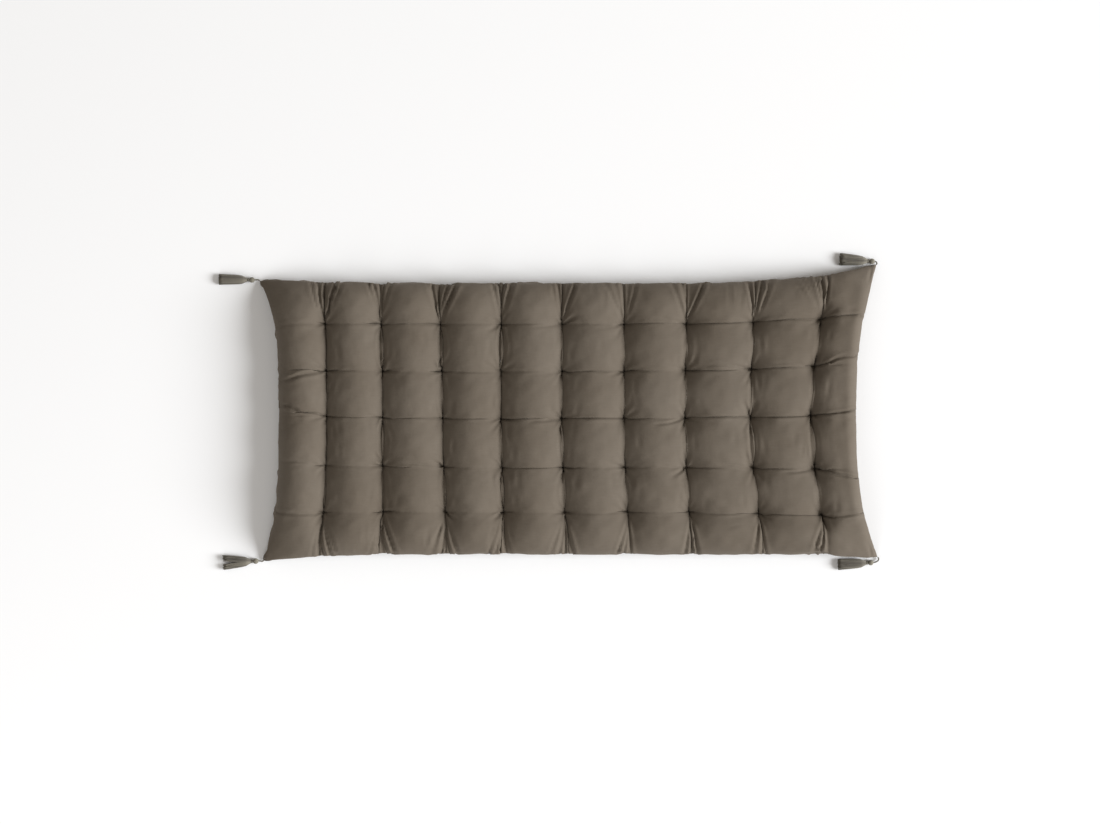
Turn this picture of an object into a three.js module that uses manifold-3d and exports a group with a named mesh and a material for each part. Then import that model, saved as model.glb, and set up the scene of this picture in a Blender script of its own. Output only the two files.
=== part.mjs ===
// A tufted floor mattress: one filled cloth body, sewn through at its tufts, with a yarn tassel at
// each corner. Sizes are in millimetres and +Z is up. It lies on the floor, z = 0, with its long side
// along X.

import * as THREE from "three";
import { mergeVertices } from "three/addons/utils/BufferGeometryUtils.js";
import Module from "manifold-3d";

const wasm = await Module();
wasm.setup();

// Heights of the filled body, from the floor.
const crownHeight = 70; // top of a full cell
const tuftTopHeight = 37; // upper cloth at a tuft
const tuftUnderHeight = 25; // lower cloth at a tuft
const seamHeight = 26; // seam along the sides
const cornerSeamHeight = 4; // seam at a corner, where the empty ear lies down
const cornerDroop = 7; // how late the seam drops to a corner, as a power

// How far up its cell the cloth is between two tufts: 0 is tuft height and 1 is the crown.
const columnSaddle = 0.52; // in the deep grooves across the mattress
const rowSaddle = 0.74; // in the faint grooves along it
const grooveSharpness = 0.62; // under 1 gives a full cell with a narrow groove
const underSink = 0.42; // share of a cell's rise that the floor flattens

// How many cells in from the seam the cloth has rounded over, above and below.
const upperEdgeReach = 0.72;
const lowerEdgeReach = 0.5;
const earReach = 1.1; // how many cells in from its tip a corner's flat ear runs
const earFilling = 0.25; // how filled the tip of the ear is, where 1 is full

// Facets in one cell.
const facetsAlong = 6;
const facetsAcross = 5;

// Lines of tufts across the mattress, from the left seam to the right seam. Each has its x at the
// middle and at its near (-Y) and far (+Y) ends, and how late it bends out, as a power.
const columns = [
  { middle: -560, near: -592, far: -600, bend: 4 },
  { middle: -467, near: -480, far: -471, bend: 2 },
  { middle: -359, near: -358, far: -363, bend: 2 },
  { middle: -243, near: -234, far: -250, bend: 1.4 },
  { middle: -131, near: -122, far: -129, bend: 1.4 },
  { middle: -14, near: -3, far: -13, bend: 1.4 },
  { middle: 106, near: 120, far: 107, bend: 1.6 },
  { middle: 223, near: 239, far: 229, bend: 1.6 },
  { middle: 349, near: 378, far: 360, bend: 1.4 },
  { middle: 465, near: 503, far: 503, bend: 1.4 },
  { middle: 554, near: 600, far: 597, bend: 2.6 },
];

// Lines of tufts along the mattress, from the near seam to the far seam, in the same way: y at the
// middle and at the left (-X) and right (+X) ends.
const rows = [
  { middle: -274, left: -288, right: -282, bend: 7 },
  { middle: -192, left: -192, right: -205, bend: 3 },
  { middle: -107, left: -100, right: -111, bend: 2 },
  { middle: -13, left: -6, right: -4, bend: 2 },
  { middle: 78, left: 81, right: 95, bend: 2.5 },
  { middle: 169, left: 171, right: 187, bend: 3 },
  { middle: 248, left: 255, right: 286, bend: 4 },
];

// One tassel, laid along its own +X from the end of its hanging cord. The skirt's sections run from
// the neck to the tip: how far along, as a share of its length, how wide and high there, and how far
// off the floor its underside is.
const cordThickness = 3;
const cordSteps = 8;
const headLength = 11.5;
const headWidth = 11;
const headFlat = 1.2; // how much the floor flattens the head's underside
const neckLength = 3;
const neckWidth = 7;
const neckCrown = 0.4; // how far the binding swells at its middle
const skirtLength = 55;
const skirtSections = [
  { along: 0, width: 7.5, height: 7, lift: 2 },
  { along: 0.09, width: 12, height: 10, lift: 0.6 },
  { along: 0.22, width: 16.5, height: 12, lift: 0 },
  { along: 0.5, width: 18, height: 12, lift: 0 },
  { along: 0.8, width: 19.5, height: 11, lift: 0 },
  { along: 1, width: 20.5, height: 10, lift: 0 },
];
const skirtSides = 20;
const skirtRoundness = 1.25; // over 1 flattens the skirt's top and underside
const splitWidth = 7; // gap at the tip of a skirt that has split in two
const clearance = 0.3; // between one piece and the next
const mergeDistance = 1e-3; // points of one mesh nearer than this are one point

// Where the tassels lie: the column and row of the corner that each is sewn to, the way its skirt
// points in degrees from +X, how far its head starts from the corner along X and Y, how many times its
// usual width the skirt's tip has spread to, and how deeply the tip has split in two.
const tassels = [
  { name: "far_left", column: 0, row: 6, turn: 179, head: [-8.8, 1.2], spread: 1, split: 0 },
  { name: "near_left", column: 0, row: 0, turn: 182.5, head: [-9.5, -1], spread: 1.45, split: 24 },
  { name: "far_right", column: 10, row: 6, turn: 176, head: [-2.5, 6], spread: 1.18, split: 0 },
  { name: "near_right", column: 10, row: 0, turn: 183.5, head: [-8, -9.8], spread: 1.04, split: 0 },
];

const clothColour = 0x6f675c;
const yarnColour = 0x77726a;
const cloth = new THREE.MeshStandardMaterial({ color: clothColour, roughness: 0.9, metalness: 0 });
const yarn = new THREE.MeshStandardMaterial({ color: yarnColour, roughness: 0.95, metalness: 0 });

const cellsAlong = columns.length - 1;
const cellsAcross = rows.length - 1;

// A column's x at t, from -1 at its near end to 1 at its far end.
function columnPlace({ middle, near, far, bend }, t) {
  const end = t < 0 ? near : far;
  return middle + (end - middle) * Math.abs(t) ** bend;
}

// A row's y at t, from -1 at its left end to 1 at its right end.
function rowPlace({ middle, left, right, bend }, t) {
  const end = t < 0 ? left : right;
  return middle + (end - middle) * Math.abs(t) ** bend;
}

// The plan of the cloth at u cells along and v cells across, straight between one tuft line and the next.
function planPlace(u, v) {
  const i = Math.min(Math.floor(u), cellsAlong - 1);
  const j = Math.min(Math.floor(v), cellsAcross - 1);
  const tAcross = (2 * v) / cellsAcross - 1;
  const tAlong = (2 * u) / cellsAlong - 1;
  const x0 = columnPlace(columns[i], tAcross);
  const x1 = columnPlace(columns[i + 1], tAcross);
  const y0 = rowPlace(rows[j], tAlong);
  const y1 = rowPlace(rows[j + 1], tAlong);
  return [x0 + (x1 - x0) * (u - i), y0 + (y1 - y0) * (v - j)];
}

// 0 on a tuft line and 1 midway between two. Past the last tufts the cloth stays up until the seam.
function cellRise(w, cells) {
  const outside = w < 0.5 || w > cells - 0.5;
  return outside ? 1 : Math.abs(Math.sin(Math.PI * w)) ** grooveSharpness;
}

// How full the cloth is at (u, v): 0 at a tuft, 1 at the top of a cell.
function fullness(u, v) {
  const along = cellRise(u, cellsAlong);
  const across = cellRise(v, cellsAcross);
  const both = 1 - rowSaddle - columnSaddle;
  return rowSaddle * along + columnSaddle * across + both * along * across;
}

// A quarter of an ellipse: 0 on the seam and 1 at reach cells in.
function roundOver(cellsIn, reach) {
  const away = 1 - Math.min(cellsIn / reach, 1);
  return Math.sqrt(1 - away * away);
}

// The height of the seam, which drops where an empty corner lies down.
function seamPlace(u, v) {
  const tAlong = Math.abs((2 * u) / cellsAlong - 1);
  const tAcross = Math.abs((2 * v) / cellsAcross - 1);
  const corner = (tAlong * tAcross) ** cornerDroop;
  return seamHeight + (cornerSeamHeight - seamHeight) * corner;
}

// How filled the mattress is near (u, v): 0 at a corner's ear and 1 away from it.
function filling(u, v) {
  const inAlong = Math.min(u, cellsAlong - u);
  const inAcross = Math.min(v, cellsAcross - v);
  return Math.min(1, earFilling + (1 - earFilling) * (Math.hypot(inAlong, inAcross) / earReach));
}

function clothHeight(u, v, upper) {
  const inAlong = Math.min(u, cellsAlong - u);
  const inAcross = Math.min(v, cellsAcross - v);
  const seam = seamPlace(u, v);
  const full = fullness(u, v);
  const reach = upper ? upperEdgeReach : lowerEdgeReach;
  const round = roundOver(inAlong, reach) * roundOver(inAcross, reach);
  if (upper) {
    const top = tuftTopHeight + (crownHeight - tuftTopHeight) * full;
    return seam + (top - seam) * round * filling(u, v);
  }
  const under = Math.max(0, (tuftUnderHeight * (1 - full - underSink)) / (1 - underSink));
  return seam + (under - seam) * round;
}

// The closed body: an upper and a lower sheet of cloth that meet in the seam.
function mattressGeometry() {
  const stepsAlong = cellsAlong * facetsAlong;
  const stepsAcross = cellsAcross * facetsAcross;
  const points = [];
  const triangles = [];
  for (const upper of [true, false]) {
    const first = points.length / 3;
    for (let j = 0; j <= stepsAcross; j++) {
      for (let i = 0; i <= stepsAlong; i++) {
        const u = i / facetsAlong;
        const v = j / facetsAcross;
        points.push(...planPlace(u, v), clothHeight(u, v, upper));
      }
    }
    for (let j = 0; j < stepsAcross; j++) {
      for (let i = 0; i < stepsAlong; i++) {
        const a = first + j * (stepsAlong + 1) + i;
        const b = a + 1;
        const c = b + stepsAlong + 1;
        const d = c - 1;
        // The diagonal runs out to the nearest corner, so that no facet has all its corners in the seam.
        const towardsCorner = i < stepsAlong / 2 === j < stepsAcross / 2;
        const pair = towardsCorner ? [a, b, c, a, c, d] : [a, b, d, b, c, d];
        triangles.push(...(upper ? pair : pair.reverse()));
      }
    }
  }
  return closedGeometry(points, triangles);
}

function closedGeometry(points, triangles) {
  const geometry = new THREE.BufferGeometry();
  geometry.setAttribute("position", new THREE.Float32BufferAttribute(points, 3));
  geometry.setIndex(triangles);
  return mergeVertices(geometry, mergeDistance);
}

// A skirt of cut yarn lying on the floor: flat-bottomed sections joined along +X, closed at both ends.
function skirtGeometry(spread) {
  const points = [];
  const triangles = [];
  for (const { along, width, height, lift } of skirtSections) {
    const wide = width * (1 + (spread - 1) * along);
    for (let k = 0; k < skirtSides; k++) {
      const angle = (2 * Math.PI * k) / skirtSides;
      const rise = THREE.MathUtils.clamp((1 + skirtRoundness * Math.sin(angle)) / 2, 0, 1);
      points.push(along * skirtLength, (wide / 2) * Math.cos(angle), lift + height * rise);
    }
  }
  const last = skirtSections.length - 1;
  for (let s = 0; s < last; s++) {
    for (let k = 0; k < skirtSides; k++) {
      const a = s * skirtSides + k;
      const b = s * skirtSides + ((k + 1) % skirtSides);
      triangles.push(a, b, b + skirtSides, a, b + skirtSides, a + skirtSides);
    }
  }
  for (const [s, outward] of [[0, false], [last, true]]) {
    const { along, height, lift } = skirtSections[s];
    const centre = points.length / 3;
    points.push(along * skirtLength, 0, lift + height / 2);
    for (let k = 0; k < skirtSides; k++) {
      const a = s * skirtSides + k;
      const b = s * skirtSides + ((k + 1) % skirtSides);
      triangles.push(...(outward ? [a, b, centre] : [b, a, centre]));
    }
  }
  return closedGeometry(points, triangles);
}

function toManifold(geometry) {
  const bare = geometry.clone();
  bare.deleteAttribute("normal");
  bare.deleteAttribute("uv");
  const merged = mergeVertices(bare, mergeDistance);
  return new wasm.Manifold(
    new wasm.Mesh({
      numProp: 3,
      vertProperties: merged.attributes.position.array,
      triVerts: new Uint32Array(merged.index.array),
    }),
  );
}

function fromManifold(solid) {
  const mesh = solid.getMesh();
  const geometry = new THREE.BufferGeometry();
  geometry.setAttribute("position", new THREE.BufferAttribute(mesh.vertProperties, 3));
  geometry.setIndex(new THREE.BufferAttribute(mesh.triVerts, 1));
  return geometry;
}

// The skirt with a wedge out of its tip, where its yarns have parted into two locks.
function splitSkirtGeometry(spread, depth) {
  const past = 4; // the wedge runs past the skirt
  const wedge = new THREE.Shape();
  wedge.moveTo(skirtLength - depth, 0);
  wedge.lineTo(skirtLength + past, -splitWidth / 2);
  wedge.lineTo(skirtLength + past, splitWidth / 2);
  const cutter = new THREE.ExtrudeGeometry(wedge, { depth: 4 * headWidth, bevelEnabled: false });
  cutter.translate(0, 0, -headWidth);
  return fromManifold(toManifold(skirtGeometry(spread)).subtract(toManifold(cutter)));
}

// The knotted head: a ball with its underside on the floor.
function headGeometry() {
  const ball = new THREE.SphereGeometry(0.5, 16, 10);
  ball.scale(headLength, headWidth, headWidth);
  ball.translate(headLength / 2, 0, headWidth / 2 - headFlat);
  const place = ball.attributes.position;
  for (let n = 0; n < place.count; n++) {
    place.setZ(n, Math.max(0, place.getZ(n)));
  }
  ball.deleteAttribute("normal");
  ball.deleteAttribute("uv");
  return mergeVertices(ball, mergeDistance);
}

// The binding wound round the yarns below the head.
function neckGeometry() {
  const half = neckLength / 2;
  const endRadius = neckWidth / 2 - neckCrown;
  const profile = [
    [0, -half],
    [endRadius, -half],
    [neckWidth / 2, 0],
    [endRadius, half],
    [0, half],
  ].map(([radius, height]) => new THREE.Vector2(radius, height));
  const neck = new THREE.LatheGeometry(profile, 16);
  neck.rotateZ(-Math.PI / 2);
  neck.translate(half, 0, (headWidth - headFlat) / 2);
  return neck;
}

// The hanging cord, a tube along a smooth bend that sets off along one way and arrives along another.
function cordGeometry(from, to, leave, arrive) {
  const path = new THREE.CubicBezierCurve3(from, from.clone().add(leave), to.clone().add(arrive), to);
  const section = new THREE.Shape();
  section.absarc(0, 0, cordThickness / 2, 0, 2 * Math.PI);
  return new THREE.ExtrudeGeometry(section, {
    steps: cordSteps,
    curveSegments: 5,
    bevelEnabled: false,
    extrudePath: path,
  });
}

function namedMesh(name, geometry, material) {
  const mesh = new THREE.Mesh(geometry, material);
  mesh.name = name;
  return mesh;
}

const up = new THREE.Vector3(0, 0, 1);

function tasselGroup({ name, column, row, turn, head, spread, split }) {
  const [cornerX, cornerY] = planPlace(column, row);
  const corner = new THREE.Vector3(cornerX, cornerY, cornerSeamHeight);
  const outward = new THREE.Vector3(column === 0 ? -1 : 1, row === 0 ? -1 : 1, 0).normalize();
  const headPlace = new THREE.Vector3(cornerX + head[0], cornerY + head[1], 0);
  const pointing = new THREE.Vector3(1, 0, 0).applyAxisAngle(up, THREE.MathUtils.degToRad(turn));

  const lying = new THREE.Group();
  lying.position.copy(headPlace);
  lying.rotation.z = THREE.MathUtils.degToRad(turn);
  lying.add(namedMesh(`tassel_${name}_head`, headGeometry(), yarn));
  const neck = namedMesh(`tassel_${name}_neck`, neckGeometry(), yarn);
  neck.position.x = headLength + clearance;
  lying.add(neck);
  const skirtShape = split ? splitSkirtGeometry(spread, split) : skirtGeometry(spread);
  const skirt = namedMesh(`tassel_${name}_skirt`, skirtShape, yarn);
  skirt.position.x = headLength + neckLength + 2 * clearance;
  lying.add(skirt);

  const from = corner.clone().addScaledVector(outward, clearance);
  const to = headPlace.clone().addScaledVector(pointing, -clearance);
  to.z = (headWidth - headFlat) / 2;
  const bow = from.distanceTo(to) / 2; // how far the cord keeps its direction at each end
  const leave = outward.clone().multiplyScalar(bow);
  const arrive = pointing.clone().multiplyScalar(-bow);
  const cord = cordGeometry(from, to, leave, arrive);

  const group = new THREE.Group();
  group.add(namedMesh(`tassel_${name}_cord`, cord, yarn), lying);
  return group;
}

const floorMattress = new THREE.Group();
floorMattress.add(namedMesh("mattress", mattressGeometry(), cloth));
for (const tassel of tassels) {
  floorMattress.add(tasselGroup(tassel));
}

// The origin is under the middle of the whole object, tassels included.
const bounds = new THREE.Box3().setFromObject(floorMattress, true);
const middle = bounds.getCenter(new THREE.Vector3());
floorMattress.position.set(-middle.x, -middle.y, 0);

export default floorMattress;
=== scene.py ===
# A tufted floor mattress in taupe cotton, with a yarn tassel at each corner, seen from straight above.
import time

import bpy
import numpy as np
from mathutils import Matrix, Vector


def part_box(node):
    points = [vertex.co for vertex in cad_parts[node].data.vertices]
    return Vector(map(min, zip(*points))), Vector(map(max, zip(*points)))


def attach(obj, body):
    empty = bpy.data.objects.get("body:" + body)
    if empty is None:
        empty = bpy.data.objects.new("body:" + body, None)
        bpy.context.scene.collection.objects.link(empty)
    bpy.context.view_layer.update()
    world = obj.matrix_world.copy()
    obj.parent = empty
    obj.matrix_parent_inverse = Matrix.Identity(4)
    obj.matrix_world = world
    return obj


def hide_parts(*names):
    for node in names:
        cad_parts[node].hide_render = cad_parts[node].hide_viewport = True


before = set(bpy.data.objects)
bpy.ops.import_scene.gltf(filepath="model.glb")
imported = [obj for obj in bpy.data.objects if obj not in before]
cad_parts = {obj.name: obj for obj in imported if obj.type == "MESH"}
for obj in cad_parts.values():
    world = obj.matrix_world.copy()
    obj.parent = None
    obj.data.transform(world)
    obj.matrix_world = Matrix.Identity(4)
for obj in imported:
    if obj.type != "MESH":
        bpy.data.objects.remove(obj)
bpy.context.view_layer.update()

startTime = time.time()
mm = 0.001  # the tables are in millimetres, and Blender works in metres


def report(stage):
    print(f"{time.time() - startTime:6.1f} s  {stage}")


# Camera: the photograph looks straight down, and is 2124 mm wide at the mattress.
view = {
    "centre": (1.8, -1.0),  # the middle of the picture, mm
    "width": 2124,  # mm
    "height": 30,  # where that width is measured, mm above the floor
    "lens": 85,  # long, as the sides of the mattress hardly show
    "reach": 30,  # how far the camera sees, m
}


def makeCamera():
    camera = bpy.data.objects.new("camera", bpy.data.cameras.new("camera"))
    camera.data.lens = view["lens"]
    distance = view["width"] * view["lens"] / camera.data.sensor_width
    camera.location = Vector((*view["centre"], view["height"] + distance)) * mm
    camera.data.clip_end = view["reach"]
    bpy.context.scene.collection.objects.link(camera)
    bpy.context.scene.camera = camera


makeCamera()

# Studio: a large soft light low on the right, a weak one over the near side, and a pale floor.
studio = {
    # name, place and aim in metres, size in metres, power in watts
    "lights": [
        ("keyLight", (19.5, -2.7, 10.2), (0.1, 0, 0), 12.6, 7700),
        ("nearLight", (-0.9, -2.2, 2.0), (-0.3, 0, 0), 2.0, 18),
    ],
    "surround": 0.36,
    "surroundColour": "fff6ea",
    "floorSize": 40,  # m
    "floorColour": "f1f3f6",
    "floorRoughness": 0.9,
}


# The linear red, green, blue and alpha of an sRGB hex colour.
def linear(hexColour):
    srgb = np.array([int(hexColour[k : k + 2], 16) for k in (0, 2, 4)]) / 255
    return (*np.where(srgb <= 0.04045, srgb / 12.92, ((srgb + 0.055) / 1.055) ** 2.4), 1)


def newMaterial(name):
    material = bpy.data.materials.new(name)
    material.use_nodes = True
    return material


# Gives a node's sockets, by name or number, a value or another node's output.
def setSockets(material, node, sockets):
    for key, value in sockets.items():
        if isinstance(value, bpy.types.NodeSocket):
            material.node_tree.links.new(value, node.inputs[key])
        else:
            node.inputs[key].default_value = value


def finishMaterial(material, sockets):
    setSockets(material, material.node_tree.nodes["Principled BSDF"], sockets)
    return material


def addNode(material, kind, sockets=None, **settings):
    node = material.node_tree.nodes.new(kind)
    for name, value in settings.items():
        setattr(node, name, value)
    setSockets(material, node, sockets or {})
    return node


# The output of a maths node. Its inputs, in turn, are values or other sockets.
def maths(material, operation, *inputs, kind="ShaderNodeMath"):
    return addNode(material, kind, dict(enumerate(inputs)), operation=operation).outputs[0]


def noise(material, vector, scale, **sockets):
    sockets = {"Vector": vector, "Scale": scale, **sockets}
    return addNode(material, "ShaderNodeTexNoise", sockets).outputs["Fac"]


# Relief from a height. The pair has its strength, and the depth in mm that a height of 1 has.
def bump(material, height, relief, **sockets):
    strength, depth = relief
    sockets = {"Height": height, "Strength": strength, "Distance": depth * mm, **sockets}
    return addNode(material, "ShaderNodeBump", sockets).outputs[0]


# The look's dark colour where share is 0, and its light one where it is 1.
def darkToLight(material, share, look):
    sockets = {"Factor": share, "A": linear(look["dark"]), "B": linear(look["light"])}
    return addNode(material, "ShaderNodeMix", sockets, data_type="RGBA").outputs["Result"]


def makeStudio():
    for name, place, aim, size, power in studio["lights"]:
        light = bpy.data.objects.new(name, bpy.data.lights.new(name, "AREA"))
        light.data.shape = "DISK"
        light.data.size = size
        light.data.energy = power
        light.location = place
        light.rotation_euler = (Vector(aim) - Vector(place)).to_track_quat("-Z", "Y").to_euler()
        bpy.context.scene.collection.objects.link(light)
    world = bpy.data.worlds.new("studioAir")
    world.use_nodes = True
    background = world.node_tree.nodes["Background"]
    background.inputs["Color"].default_value = linear(studio["surroundColour"])
    background.inputs["Strength"].default_value = studio["surround"]
    bpy.context.scene.world = world
    bpy.context.scene.view_settings.view_transform = "Standard"

    bpy.ops.mesh.primitive_plane_add(size=studio["floorSize"])
    floor = bpy.context.object
    floor.name = "studioFloor"
    finish = {"Base Color": linear(studio["floorColour"]), "Roughness": studio["floorRoughness"]}
    floor.data.materials.append(finishMaterial(newMaterial("paleStudioFloor"), finish))


makeStudio()
report("camera and studio")

# The mattress. Its lines of tufts and seams are those of the frame, in mm from its middle.
columnLines = {  # x of each line across the mattress, from the left seam to the right seam
    "middle": (-560, -467, -359, -243, -131, -14, 106, 223, 349, 465, 554),
    "low": (-592, -480, -358, -234, -122, -3, 120, 239, 378, 503, 600),  # at its near end
    "high": (-600, -471, -363, -250, -129, -13, 107, 229, 360, 503, 597),  # at its far end
    "bend": (4, 2, 2, 1.4, 1.4, 1.4, 1.6, 1.6, 1.4, 1.4, 2.6),  # how late it bends out, as a power
    "saddle": (0.5, 0.22, 0.24, 0.26, 0.32, 0.38, 0.44, 0.54, 0.64, 0.64, 0.62),  # how full its groove is
    "roundness": (0.8, 0.74, 0.8, 0.82, 0.7, 0.64, 0.62, 0.54, 0.46, 0.44, 0.44),  # low for flat cells
    "softness": (0.03, 0.02, 0.02, 0.03, 0.05, 0.08, 0.1, 0.11, 0.12, 0.12, 0.1),  # width of its floor
}
rowLines = {  # y of each line along the mattress, from the near seam to the far seam
    "middle": (-274, -192, -107, -13, 78, 169, 248),
    "low": (-288, -192, -100, -6, 81, 171, 255),  # at its left end
    "high": (-282, -205, -111, -4, 95, 187, 286),  # at its right end
    "bend": (7, 3, 2, 2, 2.5, 3, 4),
}
body = {
    "columnBow": 2.5,  # mm that a groove bows to the right between one tuft and the next
    "crown": 70,  # heights above the floor, mm
    "tuftTop": 37,
    "tuftUnder": 25,
    "seam": 26,
    "cornerSeam": 4,
    "cornerDroop": 7,  # how late the seam drops to a corner, as a power
    "rowSaddle": 0.85,  # how full the shallow grooves along the mattress are
    "rowRoundness": 1.2,
    "underSink": 0.42,  # share of a cell's rise that the floor flattens
    "upperEdge": 0.72,  # cells in from the seam where the cloth has rounded over
    "lowerEdge": 0.5,
    "leftEdge": 0.5,
    "rightEdge": 0.28,
    "earReach": 1.1,  # cells in from its tip that a corner's flat ear runs
    "earFilling": 0.25,
}
# How deep the creases are, one digit for each place, from 0 for none to 9 for a sharp fold.
creases = {
    "slot": "986421112",  # the thin line down a groove, by column
    # folds beside a groove between one tuft and the next, by column and then from near to far
    "lens": ("5142", "3629", "6137", "6419", "3423", "1101", "1111", "0410", "1321"),
    # pleats from the outermost tufts to the seam, by column and then by where they land, from the left
    "nearFan": (
        "047890750", "048708090", "440868050", "048905400", "030445900",
        "006667000", "000577600", "000507600", "005780000",
    ),
    "farFan": (
        "047090875", "047409500", "036097876", "005709850", "000470070",
        "300580040", "030570008", "000507605", "430680400",
    ),
    "row": ("3121122345", "2262433678", "8434798777", "7323354767", "2242435665"),  # by row, left to right
}
fanLandings = np.arange(-36, 37, 9)  # mm from the tuft's own x, where a fan's pleats meet the seam
leftLandings = (0, 6, 23, -24, -7)  # mm from the tuft's own y, where a row's crease meets the left seam
rightLandings = (9, -17, 10, 21, 0)
looseCreases = (  # short creases out in the cells: x and y in mm, turn in degrees, length and depth in mm
    (-263, 8, 86, 22, 1.6),
    (-168, 112, 80, 26, 1),
    (62, 128, 88, 24, 1.4),
    (318, -52, 92, 20, 1.6),
    (330, 215, 84, 30, 1.6),
    (433, -56, 88, 22, 1.8),
    (448, -74, 82, 26, 1.6),
    (-22, -150, 86, 24, 1),
    (582, 266, 72, 26, 2.4),
    (583, -268, 112, 26, 2.4),
    (-30, 230, 98, 34, 2.2),
    (68, 224, 86, 44, 2.4),
    (48, 236, 84, 24, 2),
    (310, 224, 88, 44, 2.4),
    (447, 234, 112, 36, 2.4),
    (-235, 98, 56, 30, 2.6),
    (-243, 108, 75, 34, 2.6),
    (-353, 95, 60, 24, 2.4),
    (-457, 42, 72, 36, 2.2),
    (-344, -33, 117, 34, 2.6),
    (-425, -264, 95, 22, 2.4),
    (-393, -233, 86, 36, 2.2),
    (-272, -241, 84, 50, 2.2),
    (-150, -237, 78, 40, 2.4),
    (-110, -237, 105, 30, 2),
    (314, -219, 10, 34, 1.8),
)
looseWidth = 2.4
cloth = {
    # grid lines in each cell of the upper sheet, and the lower has half as many
    "linesAlong": (36, *[40] * 8, 36),
    "linesAcross": (36, 32, 32, 32, 32, 36),
    "bunchAlong": 0.65,  # how much closer the lines are at the tufts
    "bunchAcross": 0.35,
    "steps": 160,
    "quickSteps": 30,
    "inertia": 0.9,
    "puff": 0.04,  # mm that the filling lifts slack cloth in one step
    "puffReach": 5,  # mm below the filling's surface where it lifts with all its strength
    "puffRest": 0.1,  # how strongly it still lifts at that surface
    "puffSink": 0.5,  # and how strongly, at most, it draws cloth back from above it
    "puffLimit": 4,  # mm that the cloth may stand off that surface
    "bending": 0.008,
    "threadHold": 0.12,  # how firmly threads stay straight in the plane of the cloth
    "shear": 0.1,
    "formHold": 0.05,  # how firmly creases keep their depth
    "ease": 1.01,  # how much cloth there is, as a share of what its form takes
    "gap": 8,  # least filling between the sheets, mm
    "lineSway": 5,  # mm that a groove may wander from its line of tufts
    "seamPucker": 0.6,  # how far a pleat draws the seam in, as a share of its depth
    "seamRoundness": 0.6,  # how soon the seam is out again past a line of tufts, as a power
    "rippleLength": 11,  # mm from one bump of the seam to the next
    "seamHold": (0.25, 0.25, 0.15),  # how firmly the seam is held along X, Y and Z
    "cutCell": (142, 98),  # cloth in one cell, mm
    "seed": 11,
}
# The seam's four sides: grid edge, axis that it follows, axis that points out of it and which way, its
# unevenness in mm, and how far the tufts draw it in, in mm.
seamSides = (
    ((0, slice(None)), 0, 1, -1, 1.4, 3.5),
    ((-1, slice(None)), 0, 1, 1, 1.8, 2),
    ((slice(None), 0), 1, 0, -1, 2.4, 1),
    ((slice(None), -1), 1, 0, 1, 0.5, 0),
)

cellsAlong = len(columnLines["middle"]) - 1
cellsAcross = len(rowLines["middle"]) - 1
mattressLow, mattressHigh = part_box("mattress")
mattressMiddle = np.array(  # in the frame, mm: the tables' x and y are 0 there
    [(mattressLow.x + mattressHigh.x) / 2 / mm, mattressLow.y / mm - min(rowLines["low"]), 0]
)


# Each line's place at every t from -1 to 1: its middle, and its end's offset times |t| to a power.
def linePlaces(lines, t):
    columns = (np.array(lines[key], float)[:, None] for key in ("middle", "low", "high", "bend"))
    middle, low, high, bend = columns
    end = np.where(t < 0, low, high)
    return middle + (end - middle) * np.abs(t) ** bend


# The places of the lines across at every v: between one tuft and the next they bow to the right.
def columnPlaces(v):
    columnX = linePlaces(columnLines, 2 * v / cellsAcross - 1)
    inner = (v > 1) & (v < cellsAcross - 1)
    columnX[1:-1] += np.where(inner, body["columnBow"] * np.sin(np.pi * v) ** 2, 0)
    return columnX


# Grid lines counted in cells, evenly spaced but for a sine that draws them together at the tufts.
def gridLines(lines, bunch):
    w = np.concatenate([cell + np.arange(count) / count for cell, count in enumerate(lines)])
    w = np.append(w, len(lines))
    return w - bunch * np.sin(2 * np.pi * w) / (2 * np.pi)


# X and Y over the grid: straight lines between one line of tufts and the next.
def planPlaces(u, v):
    columnX = columnPlaces(v)
    rowY = linePlaces(rowLines, 2 * u / cellsAlong - 1)
    i = np.minimum(u.astype(int), cellsAlong - 1)
    j = np.minimum(v.astype(int), cellsAcross - 1)
    shareAlong = (u - i)[:, None]
    shareAcross = (v - j)[:, None]
    x = (columnX[i] * (1 - shareAlong) + columnX[i + 1] * shareAlong).T
    y = rowY[j] * (1 - shareAcross) + rowY[j + 1] * shareAcross
    return x, y


# |sin(pi w)| to a power: 0 on a line of tufts and 1 midway, with its sharp foot rounded off by softness.
# From the middle of an outermost cell to the seam it stays 1.
def cellRise(w, cells, roundness, softness=0.0):
    foot, top = softness**roundness, (1 + softness**2) ** (roundness / 2)
    rise = (np.sin(np.pi * w) ** 2 + softness**2) ** (roundness / 2)
    return np.where((w < 0.5) | (w > cells - 0.5), 1, (rise - foot) / (top - foot))


# A quarter of an ellipse: 0 on the seam and 1 at reach cells in.
def quarterRound(cellsIn, reach):
    return np.sqrt(1 - (1 - np.minimum(cellsIn / reach, 1)) ** 2)


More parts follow.
